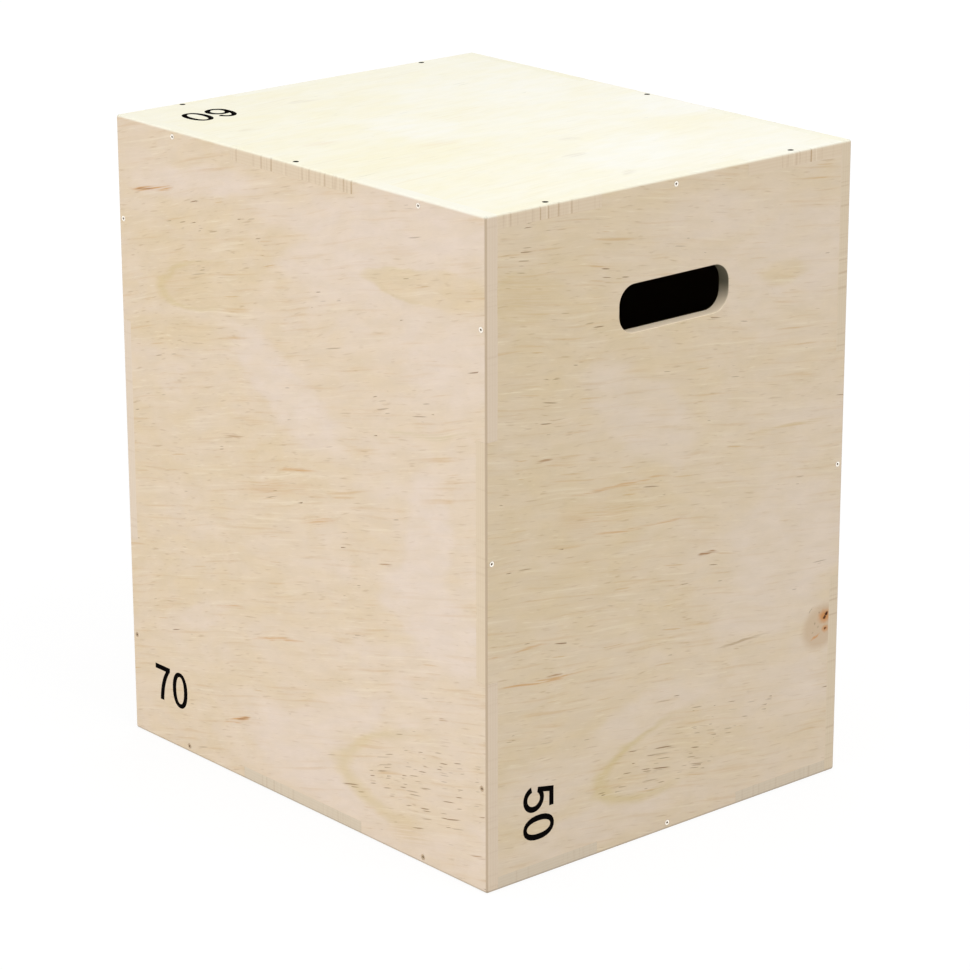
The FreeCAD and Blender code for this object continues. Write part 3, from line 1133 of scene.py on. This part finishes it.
class Digit(Enum):
    """A plain upright digit, drawn as one band between two lines, in shares of the letter size."""

    SEVEN = "7"
    ZERO = "0"
    FIVE = "5"
    SIX = "6"

    def band(self) -> tuple[np.ndarray, np.ndarray, bool]:
        """The two lines of the band.

        Returns:
            The two lines, with as many points each, and whether the band closes on itself.
        """
        if self is Digit.ZERO:
            middle = (0.277, 0.353)
            outer, inner = arc(middle, (0.240, 0.370), 0, 360, 2.2), arc(middle, (0.125, 0.280), 0, 360, 2.2)
            return outer[:-1], inner[:-1], True
        if self is Digit.SEVEN:
            outer = [line((0.043, 0.716), (0.515, 0.716)), line((0.515, 0.716), (0.515, 0.640)),
                     bow((0.515, 0.640), (0.316, 0.40), (0.300, 0.0))]
            inner = [line((0.043, 0.614), (0.34, 0.614)), line((0.34, 0.614), (0.378, 0.614)),
                     bow((0.378, 0.614), (0.200, 0.37), (0.184, 0.0))]
            return np.concatenate(outer), np.concatenate(inner), False
        if self is Digit.FIVE:
            outer = [line((0.487, 0.710), (0.121, 0.710)), line((0.121, 0.710), (0.051, 0.333)),
                     line((0.051, 0.333), (0.150, 0.318)), arc((0.266, 0.232), (0.140, 0.150), 145, -166)]
            inner = [line((0.487, 0.606), (0.207, 0.606)), line((0.207, 0.606), (0.172, 0.440)),
                     line((0.172, 0.440), (0.174, 0.439)), arc((0.266, 0.232), (0.254, 0.248), 115, -166)]
            return np.concatenate(outer), np.concatenate(inner), False
        outer = [arc((0.284, 0.345), (0.250, 0.375), 33, 180), arc((0.278, 0.232), (0.244, 0.246), 180, 360),
                 arc((0.278, 0.232), (0.244, 0.246), 0, 129)]
        inner = [arc((0.284, 0.345), (0.137, 0.279), 33, 180), arc((0.278, 0.232), (0.131, 0.152), 180, 360),
                 arc((0.278, 0.232), (0.131, 0.152), 0, 180)]
        return np.concatenate(outer), np.concatenate(inner), False


class Turn(Enum):
    """How far a number is turned on its face, in degrees to the left."""

    UPRIGHT = 0
    READS_DOWN = -90
    UPSIDE_DOWN = 180


@dataclass(frozen=True)
class HeightNumber:
    """A printed number on a face of the box, the height in centimetres that the box stands on that side.

    Attributes:
        text: The number.
        face: The face that it is printed on.
        right: Where its line of writing starts, to the right of the face's upper left corner.
        down: Where its line of writing starts, down from that corner.
        turn: How far it is turned.
        letter: The letter size.
        step: From one digit to the next, as a share of the letter size.
        proud: How far the ink stands out of the wood.
        sunk: How far the ink goes into the wood.
    """

    text: str
    face: Face
    right: float
    down: float
    turn: Turn
    letter: float = 0.0565
    step: float = 0.556
    proud: float = 0.00004
    sunk: float = 0.00004

    def build(self, material: bpy.types.Material) -> None:
        """Makes each digit as a thin closed band of ink and puts them on the face.

        At each step of the band its outline is a flat rectangle from the outer line to the inner one, a
        little below the wood and a little above it.

        Args:
            material: The ink.
        """
        start = np.array(self.face.point(self.right, self.down))
        axes = spun(math.radians(self.turn.value)) @ self.face.axes
        for number, letter in enumerate(self.text):
            outer, inner, is_loop = Digit(letter).band()
            shift = np.array([number * self.step, 0])
            outer, inner = (outer + shift) * self.letter, (inner + shift) * self.letter
            sections = np.zeros((len(outer), 4, 3))
            sections[:, (0, 1), :2] = outer[:, None]
            sections[:, (2, 3), :2] = inner[:, None]
            sections[:, (0, 3), 2] = -self.sunk
            sections[:, (1, 2), 2] = self.proud
            name = "number_%s_digit_%d" % (self.text, number + 1)
            mesh = carried(name, (sections @ axes + start)[None], is_loop)
            add_piece(name, mesh, material)


@dataclass(frozen=True)
class SoftBox:
    """A square studio lamp that faces a point.

    Attributes:
        name: Its name.
        place: Where it hangs.
        aim: What it faces.
        size: The length of its side.
        power: Its power in watts.
    """

    name: str
    place: Triple
    aim: Triple
    size: float
    power: float

    def build(self) -> None:
        """Hangs the lamp."""
        lamp = bpy.data.lights.new(self.name, "AREA")
        lamp.size, lamp.energy = self.size, self.power
        hung = bpy.data.objects.new(self.name, lamp)
        hung.location = self.place
        hung.rotation_euler = (Vector(self.aim) - Vector(self.place)).to_track_quat("-Z", "Y").to_euler()
        hung.visible_camera = False
        bpy.context.scene.collection.objects.link(hung)


def laid(name: str, corners: np.ndarray, material: bpy.types.Material) -> bpy.types.Object:
    """A flat sheet of the studio.

    Args:
        name: Its name.
        corners: Its four corners in turn.
        material: Its finish.

    Returns:
        The sheet.
    """
    mesh = bpy.data.meshes.new(name)
    mesh.from_pydata(corners.tolist(), [], [[0, 1, 2, 3]])
    mesh.materials.append(material)
    sheet = bpy.data.objects.new(name, mesh)
    bpy.context.scene.collection.objects.link(sheet)
    return sheet


@dataclass(frozen=True)
class Studio:
    """A white floor under an even white sky with a few soft lamps, a dark card and the camera.

    Attributes:
        floor_size: The side of the floor.
        floor_white: How much light the floor throws back.
        floor_glow: How much of the floor's look is plain white by the box, the rest takes the shadow.
        shadow_reach: From the box, where the floor begins to turn all white and where it is so.
        floor_light: How much of the light from the floor is its own glow, as on a light table.
        white: How bright the floor and the sky look.
        sky: How bright the sky is as a light.
        lamps: The lamps.
        card_away: How far behind the box the dark card stands, for the screws on top to mirror.
        card_size: The width and the height of the card.
        card_foot: How high the card's lower edge is.
        camera_place: Where the camera stands.
        camera_turn: How far the camera looks from +Y towards +X, in degrees.
        camera_drop: How far it looks down.
        camera_roll: How far it leans.
        lens: Its lens in millimetres, on a sensor of 36.
    """

    floor_size: float = 40.0
    floor_white: float = 0.9
    floor_glow: float = 0.86
    shadow_reach: Pair = (0.9, 2.5)
    floor_light: float = 0.5
    white: float = 1.03
    sky: float = 0.6
    lamps: tuple[SoftBox, ...] = (
        SoftBox("overhead", (0, 0, 3.2), (0, 0, 0.7), 3.0, 41),
        SoftBox("key_left", (-3.2, 0.0, 0.4), (-0.25, 0, 0.2), 1.2, 27),
        SoftBox("front_high", (0.0, -1.7, 3.2), (0, -0.3, 0.5), 1.2, 17),
        SoftBox("front_low", (0.0, -3.0, 0.3), (0, -0.3, 0.1), 1.0, 3.7),
    )
    card_away: float = 2.5
    card_size: Pair = (5.0, 3.2)
    card_foot: float = 0.75
    camera_place: Triple = (-2.4846, -2.8803, 1.5514)
    camera_turn: float = 40.876
    camera_drop: float = 18.139
    camera_roll: float = -0.117
    lens: float = 137.6

    def white_to_eye(self, sheet: NodeSheet) -> Socket:
        """What a ray of light is for.

        Args:
            sheet: The node tree.

        Returns:
            1 for what the camera sees by itself, in a mirror or through glass, 0 for light on the object.
        """
        path = sheet.node("LightPath", {}).outputs
        seen = sheet.number("MAXIMUM", path["Is Camera Ray"], path["Is Glossy Ray"])
        return sheet.number("MAXIMUM", seen, path["Is Transmission Ray"])

    def build_floor(self) -> None:
        """Lays the floor: white cloth to the light, mostly plain white to the eye, with the box's shadow."""
        sheet = NodeSheet(bpy.data.materials.new("studio_floor"))
        cloth = sheet.node("BsdfDiffuse", {"Color": (self.floor_white,) * 3 + (1.0,)})
        glow = sheet.node("Emission", {"Color": (1.0, 1.0, 1.0, 1.0), "Strength": self.white})
        away = sheet.length(sheet.object_place())
        plain = sheet.eased(away, *self.shadow_reach, self.floor_glow, 1.0)
        share = sheet.blend(self.white_to_eye(sheet), self.floor_light, plain)
        look = sheet.node("MixShader", {0: share, 1: cloth.outputs[0], 2: glow.outputs[0]})
        corners = np.array([[-1, -1, 0], [1, -1, 0], [1, 1, 0], [-1, 1, 0]]) * self.floor_size / 2
        laid("floor", corners, sheet.finish(look))

    def build_card(self) -> None:
        """Stands a dark card behind the box that only mirrors see."""
        sheet = NodeSheet(bpy.data.materials.new("dark_card"))
        look = sheet.node("BsdfDiffuse", {"Color": (0.01, 0.01, 0.01, 1.0)})
        turn = math.radians(self.camera_turn)
        back = np.array([math.sin(turn), math.cos(turn), 0])
        aside = np.array([math.cos(turn), -math.sin(turn), 0])
        half, top = self.card_size[0] / 2, self.card_foot + self.card_size[1]
        across = np.array([-half, half, half, -half])[:, None] * aside
        high = np.array([self.card_foot, self.card_foot, top, top])[:, None] * np.array([0, 0, 1])
        card = laid("dark_card", back * self.card_away + across + high, sheet.finish(look))
        card.visible_camera = card.visible_diffuse = card.visible_shadow = False

    def build_sky(self) -> None:
        """Makes the even sky: plain white to the eye, dimmer as a light."""
        sheet = NodeSheet(bpy.data.worlds.new("studio_sky"))
        strength = sheet.blend(self.white_to_eye(sheet), self.sky, self.white)
        look = sheet.node("Background", {"Color": (1.0, 1.0, 1.0, 1.0), "Strength": strength})
        bpy.context.scene.world = sheet.finish(look)

    def build_camera(self) -> None:
        """Sets up the camera."""
        camera = bpy.data.objects.new("camera", bpy.data.cameras.new("camera"))
        camera.data.lens = self.lens
        turn = Matrix.Rotation(-math.radians(self.camera_turn), 4, "Z")
        tip = Matrix.Rotation(math.radians(90 - self.camera_drop), 4, "X")
        roll = Matrix.Rotation(math.radians(self.camera_roll), 4, "Z")
        camera.matrix_world = Matrix.Translation(self.camera_place) @ turn @ tip @ roll
        bpy.context.scene.collection.objects.link(camera)
        bpy.context.scene.camera = camera

    def build(self) -> None:
        """Sets up the floor, the card, the sky, the lamps and the camera."""
        self.build_floor()
        self.build_card()
        self.build_sky()
        for lamp in self.lamps:
            lamp.build()
        self.build_camera()
        bpy.context.scene.view_settings.view_transform = "Standard"
        log.info("studio set up")


# What the veneer of each face shows, in metres from the face's upper left corner
LEFT_MARKS = (
    Mark(0.050, 0.350, 0.50, 0.90, soft=1.6, tan=0.2),
    Mark(0.570, 0.350, 0.36, 0.90, soft=1.6, tan=-0.3),
    Mark(0.160, 0.097, 0.38, 0.045, 6, tan=0.45),
    Mark(0.090, 0.222, 0.20, 0.040, 8, tan=0.8),
    Mark(0.200, 0.475, 0.22, 0.100, 12, tan=0.45),
    Mark(0.415, 0.370, 0.08, 0.090, 10, tan=0.4),
    Mark(0.250, 0.350, 0.28, 0.110, 12, tan=0.5),
    Mark(0.430, 0.455, 0.14, 0.045, 8, tan=0.5),
    Mark(0.140, 0.048, 0.24, 0.036, 8, soft=0.5, tan=-0.7),
    Mark(0.430, 0.042, 0.34, 0.045, 6, soft=0.5, tan=-0.6),
    Mark(0.365, 0.098, 0.16, 0.060, 8, soft=0.5, tan=-0.65),
    Mark(0.545, 0.160, 0.13, 0.090, soft=0.6, tan=-0.5),
    Mark(0.285, 0.243, 0.21, 0.070, -28, soft=0.5, tan=-0.7),
    Mark(0.510, 0.340, 0.07, 0.150, -8, soft=0.5, tan=-0.75),
    Mark(0.515, 0.430, 0.17, 0.080, -18, soft=0.45, tan=-0.8),
    Mark(0.085, 0.275, 0.05, 0.040, 20, soft=0.6, tan=-0.35),
    Mark(0.142, 0.530, 0.09, 0.030, 22, soft=0.6, tan=-0.5),
    Mark(0.370, 0.572, 0.14, 0.045, 22, soft=0.5, tan=-0.65),
    Mark(0.330, 0.645, 0.23, 0.090, -10, soft=0.5, tan=-0.7),
    Mark(0.525, 0.086, 0.19, 0.036, 4, soft=0.3, tan=0.75, outline=0.3),
    Mark(0.165, 0.156, 0.18, 0.056, 14, soft=0.3, tan=0.75, outline=0.5),
    Mark(0.120, 0.098, 0.10, 0.010, 3, tan=0.2, dashes=0.5),
    Mark(0.475, 0.219, 0.11, 0.014, 6, tan=0.1, dashes=0.5),
    Mark(0.490, 0.610, 0.24, 0.095, 12, soft=0.4, tan=0.3, outline=0.5, dashes=0.25),
    Mark(0.500, 0.610, 0.15, 0.065, 12, soft=0.8, tan=-0.2, dashes=0.6),
)
AMBER, BROWN = shown(202, 158, 110), shown(162, 120, 80)
LIGHT, UMBER = shown(236, 222, 200), shown(208, 184, 144)
LEFT_BLOTS = (
    Blot(0.054, 0.067, 0.060, 0.0050, 11, 0.8, AMBER, 1.0),
    Blot(0.044, 0.069, 0.030, 0.0022, 11, 1.0, BROWN, 0.8),
    Blot(0.196, 0.635, 0.052, 0.0060, 15, 0.8, AMBER, 1.0),
    Blot(0.206, 0.632, 0.030, 0.0024, 15, 1.0, BROWN, 0.7),
    Blot(0.186, 0.311, 0.034, 0.0036, 12, 0.9, BROWN, 0.55),
    Blot(0.305, 0.325, 0.050, 0.0040, 14, 1.2, AMBER, 0.75),
    Blot(0.290, 0.335, 0.110, 0.0050, 14, 1.2, LIGHT, 0.45),
    Blot(0.265, 0.352, 0.110, 0.0120, 14, 1.4, AMBER, 0.3),
    Blot(0.280, 0.362, 0.110, 0.0050, 14, 1.2, LIGHT, 0.4),
    Blot(0.340, 0.368, 0.060, 0.0040, 12, 1.2, AMBER, 0.55),
    Blot(0.265, 0.384, 0.110, 0.0040, 13, 1.2, LIGHT, 0.35),
    Blot(0.180, 0.183, 0.110, 0.0040, 12, 1.2, LIGHT, 0.45),
    Blot(0.118, 0.156, 0.080, 0.0480, 14, 1.2, UMBER, 0.4),
    Blot(0.265, 0.525, 0.070, 0.0034, 14, 1.2, AMBER, 0.7),
    Blot(0.195, 0.506, 0.040, 0.0044, 12, 1.2, AMBER, 0.6),
    Blot(0.443, 0.387, 0.026, 0.0030, 10, 1.0, BROWN, 0.7),
    Blot(0.533, 0.535, 0.016, 0.0030, 12, 1.0, BROWN, 0.8),
    Blot(0.583, 0.663, 0.024, 0.0030, 5, 1.0, BROWN, 0.6),
    Blot(0.480, 0.484, 0.120, 0.0040, 14, 1.2, LIGHT, 0.4),
    Blot(0.510, 0.236, 0.120, 0.0060, 10, 1.2, shown(205, 188, 150), 0.5),
    Blot(0.475, 0.672, 0.060, 0.0240, 0, 1.4, UMBER, 0.5),
)
FRONT_MARKS = (
    Mark(0.000, 0.320, 0.46, 0.70, soft=1.6, tan=0.5),
    Mark(0.400, 0.492, 0.15, 0.050, -4, soft=0.6, tan=-0.5),
    Mark(0.480, 0.350, 0.34, 0.90, soft=1.6, tan=-0.25),
    Mark(0.150, 0.330, 0.30, 0.080, -6, tan=0.45),
    Mark(0.250, 0.465, 0.12, 0.070, -4, tan=0.35),
    Mark(0.310, 0.045, 0.16, 0.050, -5, soft=0.6, tan=-0.5),
    Mark(0.430, 0.100, 0.14, 0.100, soft=0.6, tan=-0.45),
    Mark(0.205, 0.235, 0.19, 0.070, -38, soft=0.5, tan=-0.6),
    Mark(0.420, 0.420, 0.17, 0.150, -10, soft=0.5, tan=-0.65),
    Mark(0.455, 0.575, 0.10, 0.080, soft=0.6, tan=-0.5),
    Mark(0.225, 0.562, 0.16, 0.050, 10, soft=0.5, tan=-0.6),
    Mark(0.080, 0.605, 0.14, 0.060, soft=0.8, tan=-0.45),
    Mark(0.150, 0.668, 0.26, 0.045, 3, soft=0.6, tan=-0.65),
    Mark(0.055, 0.090, 0.09, 0.052, -5, soft=0.35, tan=0.8, outline=0.2),
    Mark(0.412, 0.125, 0.06, 0.026, -5, soft=0.7, tan=0.7),
    Mark(0.265, 0.612, 0.21, 0.080, 9, soft=0.35, tan=0.25, outline=0.6, dashes=0.15),
    Mark(0.260, 0.625, 0.13, 0.050, 5, soft=0.8, dashes=0.5),
    Mark(0.350, 0.590, 0.10, 0.040, 0, soft=0.8, dashes=0.3),
)
FRONT_BLOTS = (
    Blot(0.065, 0.487, 0.130, 0.0036, -5, 1.2, AMBER, 0.8),
    Blot(0.084, 0.485, 0.016, 0.0026, -5, 1.0, BROWN, 0.7),
    Blot(0.035, 0.449, 0.070, 0.0034, -5, 1.2, AMBER, 0.6),
    Blot(0.350, 0.515, 0.066, 0.0030, 0, 1.0, shown(178, 152, 122), 0.7),
    Blot(0.083, 0.258, 0.026, 0.0034, -5, 0.9, BROWN, 0.65),
    Blot(0.185, 0.307, 0.120, 0.0036, -2, 1.2, AMBER, 0.6),
    Blot(0.140, 0.331, 0.080, 0.0240, -5, 1.4, AMBER, 0.25),
    Blot(0.048, 0.090, 0.060, 0.0400, -5, 1.2, UMBER, 0.4),
    Blot(0.200, 0.358, 0.110, 0.0034, -5, 1.2, AMBER, 0.65),
    Blot(0.425, 0.290, 0.100, 0.0040, -3, 1.2, UMBER, 0.6),
    Blot(0.301, 0.407, 0.024, 0.0034, -5, 0.9, BROWN, 0.9),
    Blot(0.045, 0.180, 0.050, 0.0026, -8, 1.0, LIGHT, 0.5),
)
KNOT_HALO, KNOT_RING, KNOT_CORE = shown(204, 180, 154), shown(204, 136, 74), shown(70, 38, 20)
FRONT_KNOT = (
    Blot(0.4740, 0.5280, 0.056, 0.048, 20, 0.5, KNOT_HALO, 0.85),
    Blot(0.4790, 0.5175, 0.016, 0.013, 0, 1.3, KNOT_RING, 0.85),
    Blot(0.4800, 0.5320, 0.008, 0.007, 0, 1.3, KNOT_RING, 0.75),
    Blot(0.4650, 0.5385, 0.012, 0.0026, 20, 1.2, KNOT_RING, 0.6),
    Blot(0.4815, 0.5155, 0.0050, 0.0042, 40, 0.7, KNOT_CORE, 1.0),
    Blot(0.4785, 0.5190, 0.0042, 0.0036, 40, 0.7, KNOT_CORE, 0.9),
    Blot(0.4800, 0.5320, 0.0036, 0.0032, 0, 0.8, KNOT_CORE, 0.85),
    Blot(0.4640, 0.5225, 0.0030, 0.0020, 30, 0.9, KNOT_CORE, 0.3),
    Blot(0.4705, 0.5120, 0.0026, 0.0020, 60, 0.9, KNOT_CORE, 0.3),
    Blot(0.4610, 0.5330, 0.0024, 0.0018, 0, 0.9, KNOT_CORE, 0.25),
    Blot(0.4690, 0.5275, 0.0022, 0.0018, 0, 0.9, KNOT_CORE, 0.25),
    Blot(0.4570, 0.5070, 0.0060, 0.0014, 40, 0.9, KNOT_CORE, 0.35),
)
TOP_MARKS = (
    Mark(0.060, 0.300, 0.36, 0.90, soft=1.6, tan=0.4),
    Mark(0.460, 0.300, 0.36, 0.90, soft=1.6, tan=-0.4),
    Mark(0.215, 0.130, 0.14, 0.10, 20, soft=0.8, tan=0.45),
    Mark(0.125, 0.345, 0.16, 0.10, 10, soft=0.8, tan=0.6),
    Mark(0.420, 0.420, 0.10, 0.07, 0, soft=0.8, tan=0.5),
    Mark(0.195, 0.260, 0.08, 0.13, 0, soft=0.8, tan=-0.6),
    Mark(0.290, 0.490, 0.15, 0.10, 30, soft=0.8, tan=-0.7),
    Mark(0.400, 0.205, 0.13, 0.08, 20, soft=0.8, tan=-0.5),
    Mark(0.475, 0.350, 0.08, 0.11, 0, soft=0.8, tan=-0.7),
)
TOP_BLOTS = (
    Blot(0.073, 0.253, 0.030, 0.016, 0, 1.2, AMBER, 0.8),
    Blot(0.172, 0.335, 0.036, 0.012, 0, 1.2, AMBER, 0.6),
    Blot(0.055, 0.150, 0.022, 0.012, 0, 1.2, BROWN, 0.5),
    Blot(0.187, 0.078, 0.022, 0.012, 0, 1.2, BROWN, 0.6),
    Blot(0.235, 0.467, 0.022, 0.014, 0, 1.2, BROWN, 0.6),
    Blot(0.283, 0.407, 0.018, 0.012, 0, 1.2, BROWN, 0.5),
    Blot(0.230, 0.555, 0.022, 0.012, 0, 1.2, BROWN, 0.6),
)
# The panels, the screws' painted shade and the numbers
HAND_HOLE = HandHole(0.25, 0.125, 0.24, 0.14, soft=0.1)
PANELS = (
    PanelSkin("left_side_panel", Face.LEFT, 14, 1.0, edge_tint=(1.015, 1.01, 1.025, 1), hatch=0.15,
              marks=LEFT_MARKS, blots=LEFT_BLOTS),
    PanelSkin("front_end_panel", Face.FRONT, -8, 12.0, (0.98, 0.985, 0.955, 1), (1.0, 0.99, 0.96, 1), 0.15,
              0.0, FRONT_MARKS, FRONT_BLOTS, FRONT_KNOT, HAND_HOLE),
    PanelSkin("top_panel", Face.TOP, 4, 23.0, edge_tint=(1.005, 0.995, 0.97, 1), hatch=0.8, hole_shade=1.0,
              marks=TOP_MARKS, blots=TOP_BLOTS),
    PanelSkin("right_side_panel", Face.RIGHT, 6, 34.0, edge_tint=(0.98, 0.985, 0.957, 1), hatch=0.4),
    PanelSkin("back_end_panel", Face.BACK, -4, 45.0, edge_tint=(1.03, 1.04, 1.09, 1), hatch=0.2,
              hand_hole=HAND_HOLE),
    PanelSkin("bottom_panel", Face.BOTTOM, 5, 56.0, edge_tint=(0.937, 0.965, 0.988, 1), hatch=0.25),
)
# The low heads on the left get a painted dim reflection; the heads on the top get painted shade
DIM_REFLECTION_HEIGHT, PAINTED_SHADE_REACH = 0.15, 0.95
NUMBERS = (
    HeightNumber("70", Face.LEFT, 0.0386, 0.6514, Turn.UPRIGHT),
    HeightNumber("50", Face.FRONT, 0.0495, 0.5990, Turn.READS_DOWN),
    HeightNumber("60", Face.TOP, 0.1047, 0.048, Turn.UPSIDE_DOWN),
)


def screw_rows() -> list[ScrewRow]:
    """Every row of screws in the frame.

    Returns:
        The rows, each with the face that its heads lie in, with painted dim reflections low down on the left
        and painted shade on the heads on the top.
    """
    names = sorted(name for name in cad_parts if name.endswith(("_screw", "_screws")))
    faces = [Face[name.split("_")[0].upper()] for name in names]
    dim_reflection = {Face.LEFT: DIM_REFLECTION_HEIGHT}
    painted_shade_faces = {Face.TOP: PAINTED_SHADE_REACH}
    return [ScrewRow(name, face, number * 0.7, dim_reflection.get(face, 0.0), painted_shade_faces.get(face, 0.0))
            for number, (name, face) in enumerate(zip(names, faces))]


def main() -> None:
    """Dresses the panels, makes the screws and the numbers and sets up the studio."""
    logging.basicConfig(level=logging.INFO, format="%(message)s")
    plywood = Plywood()
    for panel in PANELS:
        panel.dress(plywood)
    zinc = ZincPlate().material()
    for row in screw_rows():
        row.build(zinc)
    ink = PrintedInk().material()
    for number in NUMBERS:
        number.build(ink)
    Studio().build()


if __name__ == "__main__":
    main()
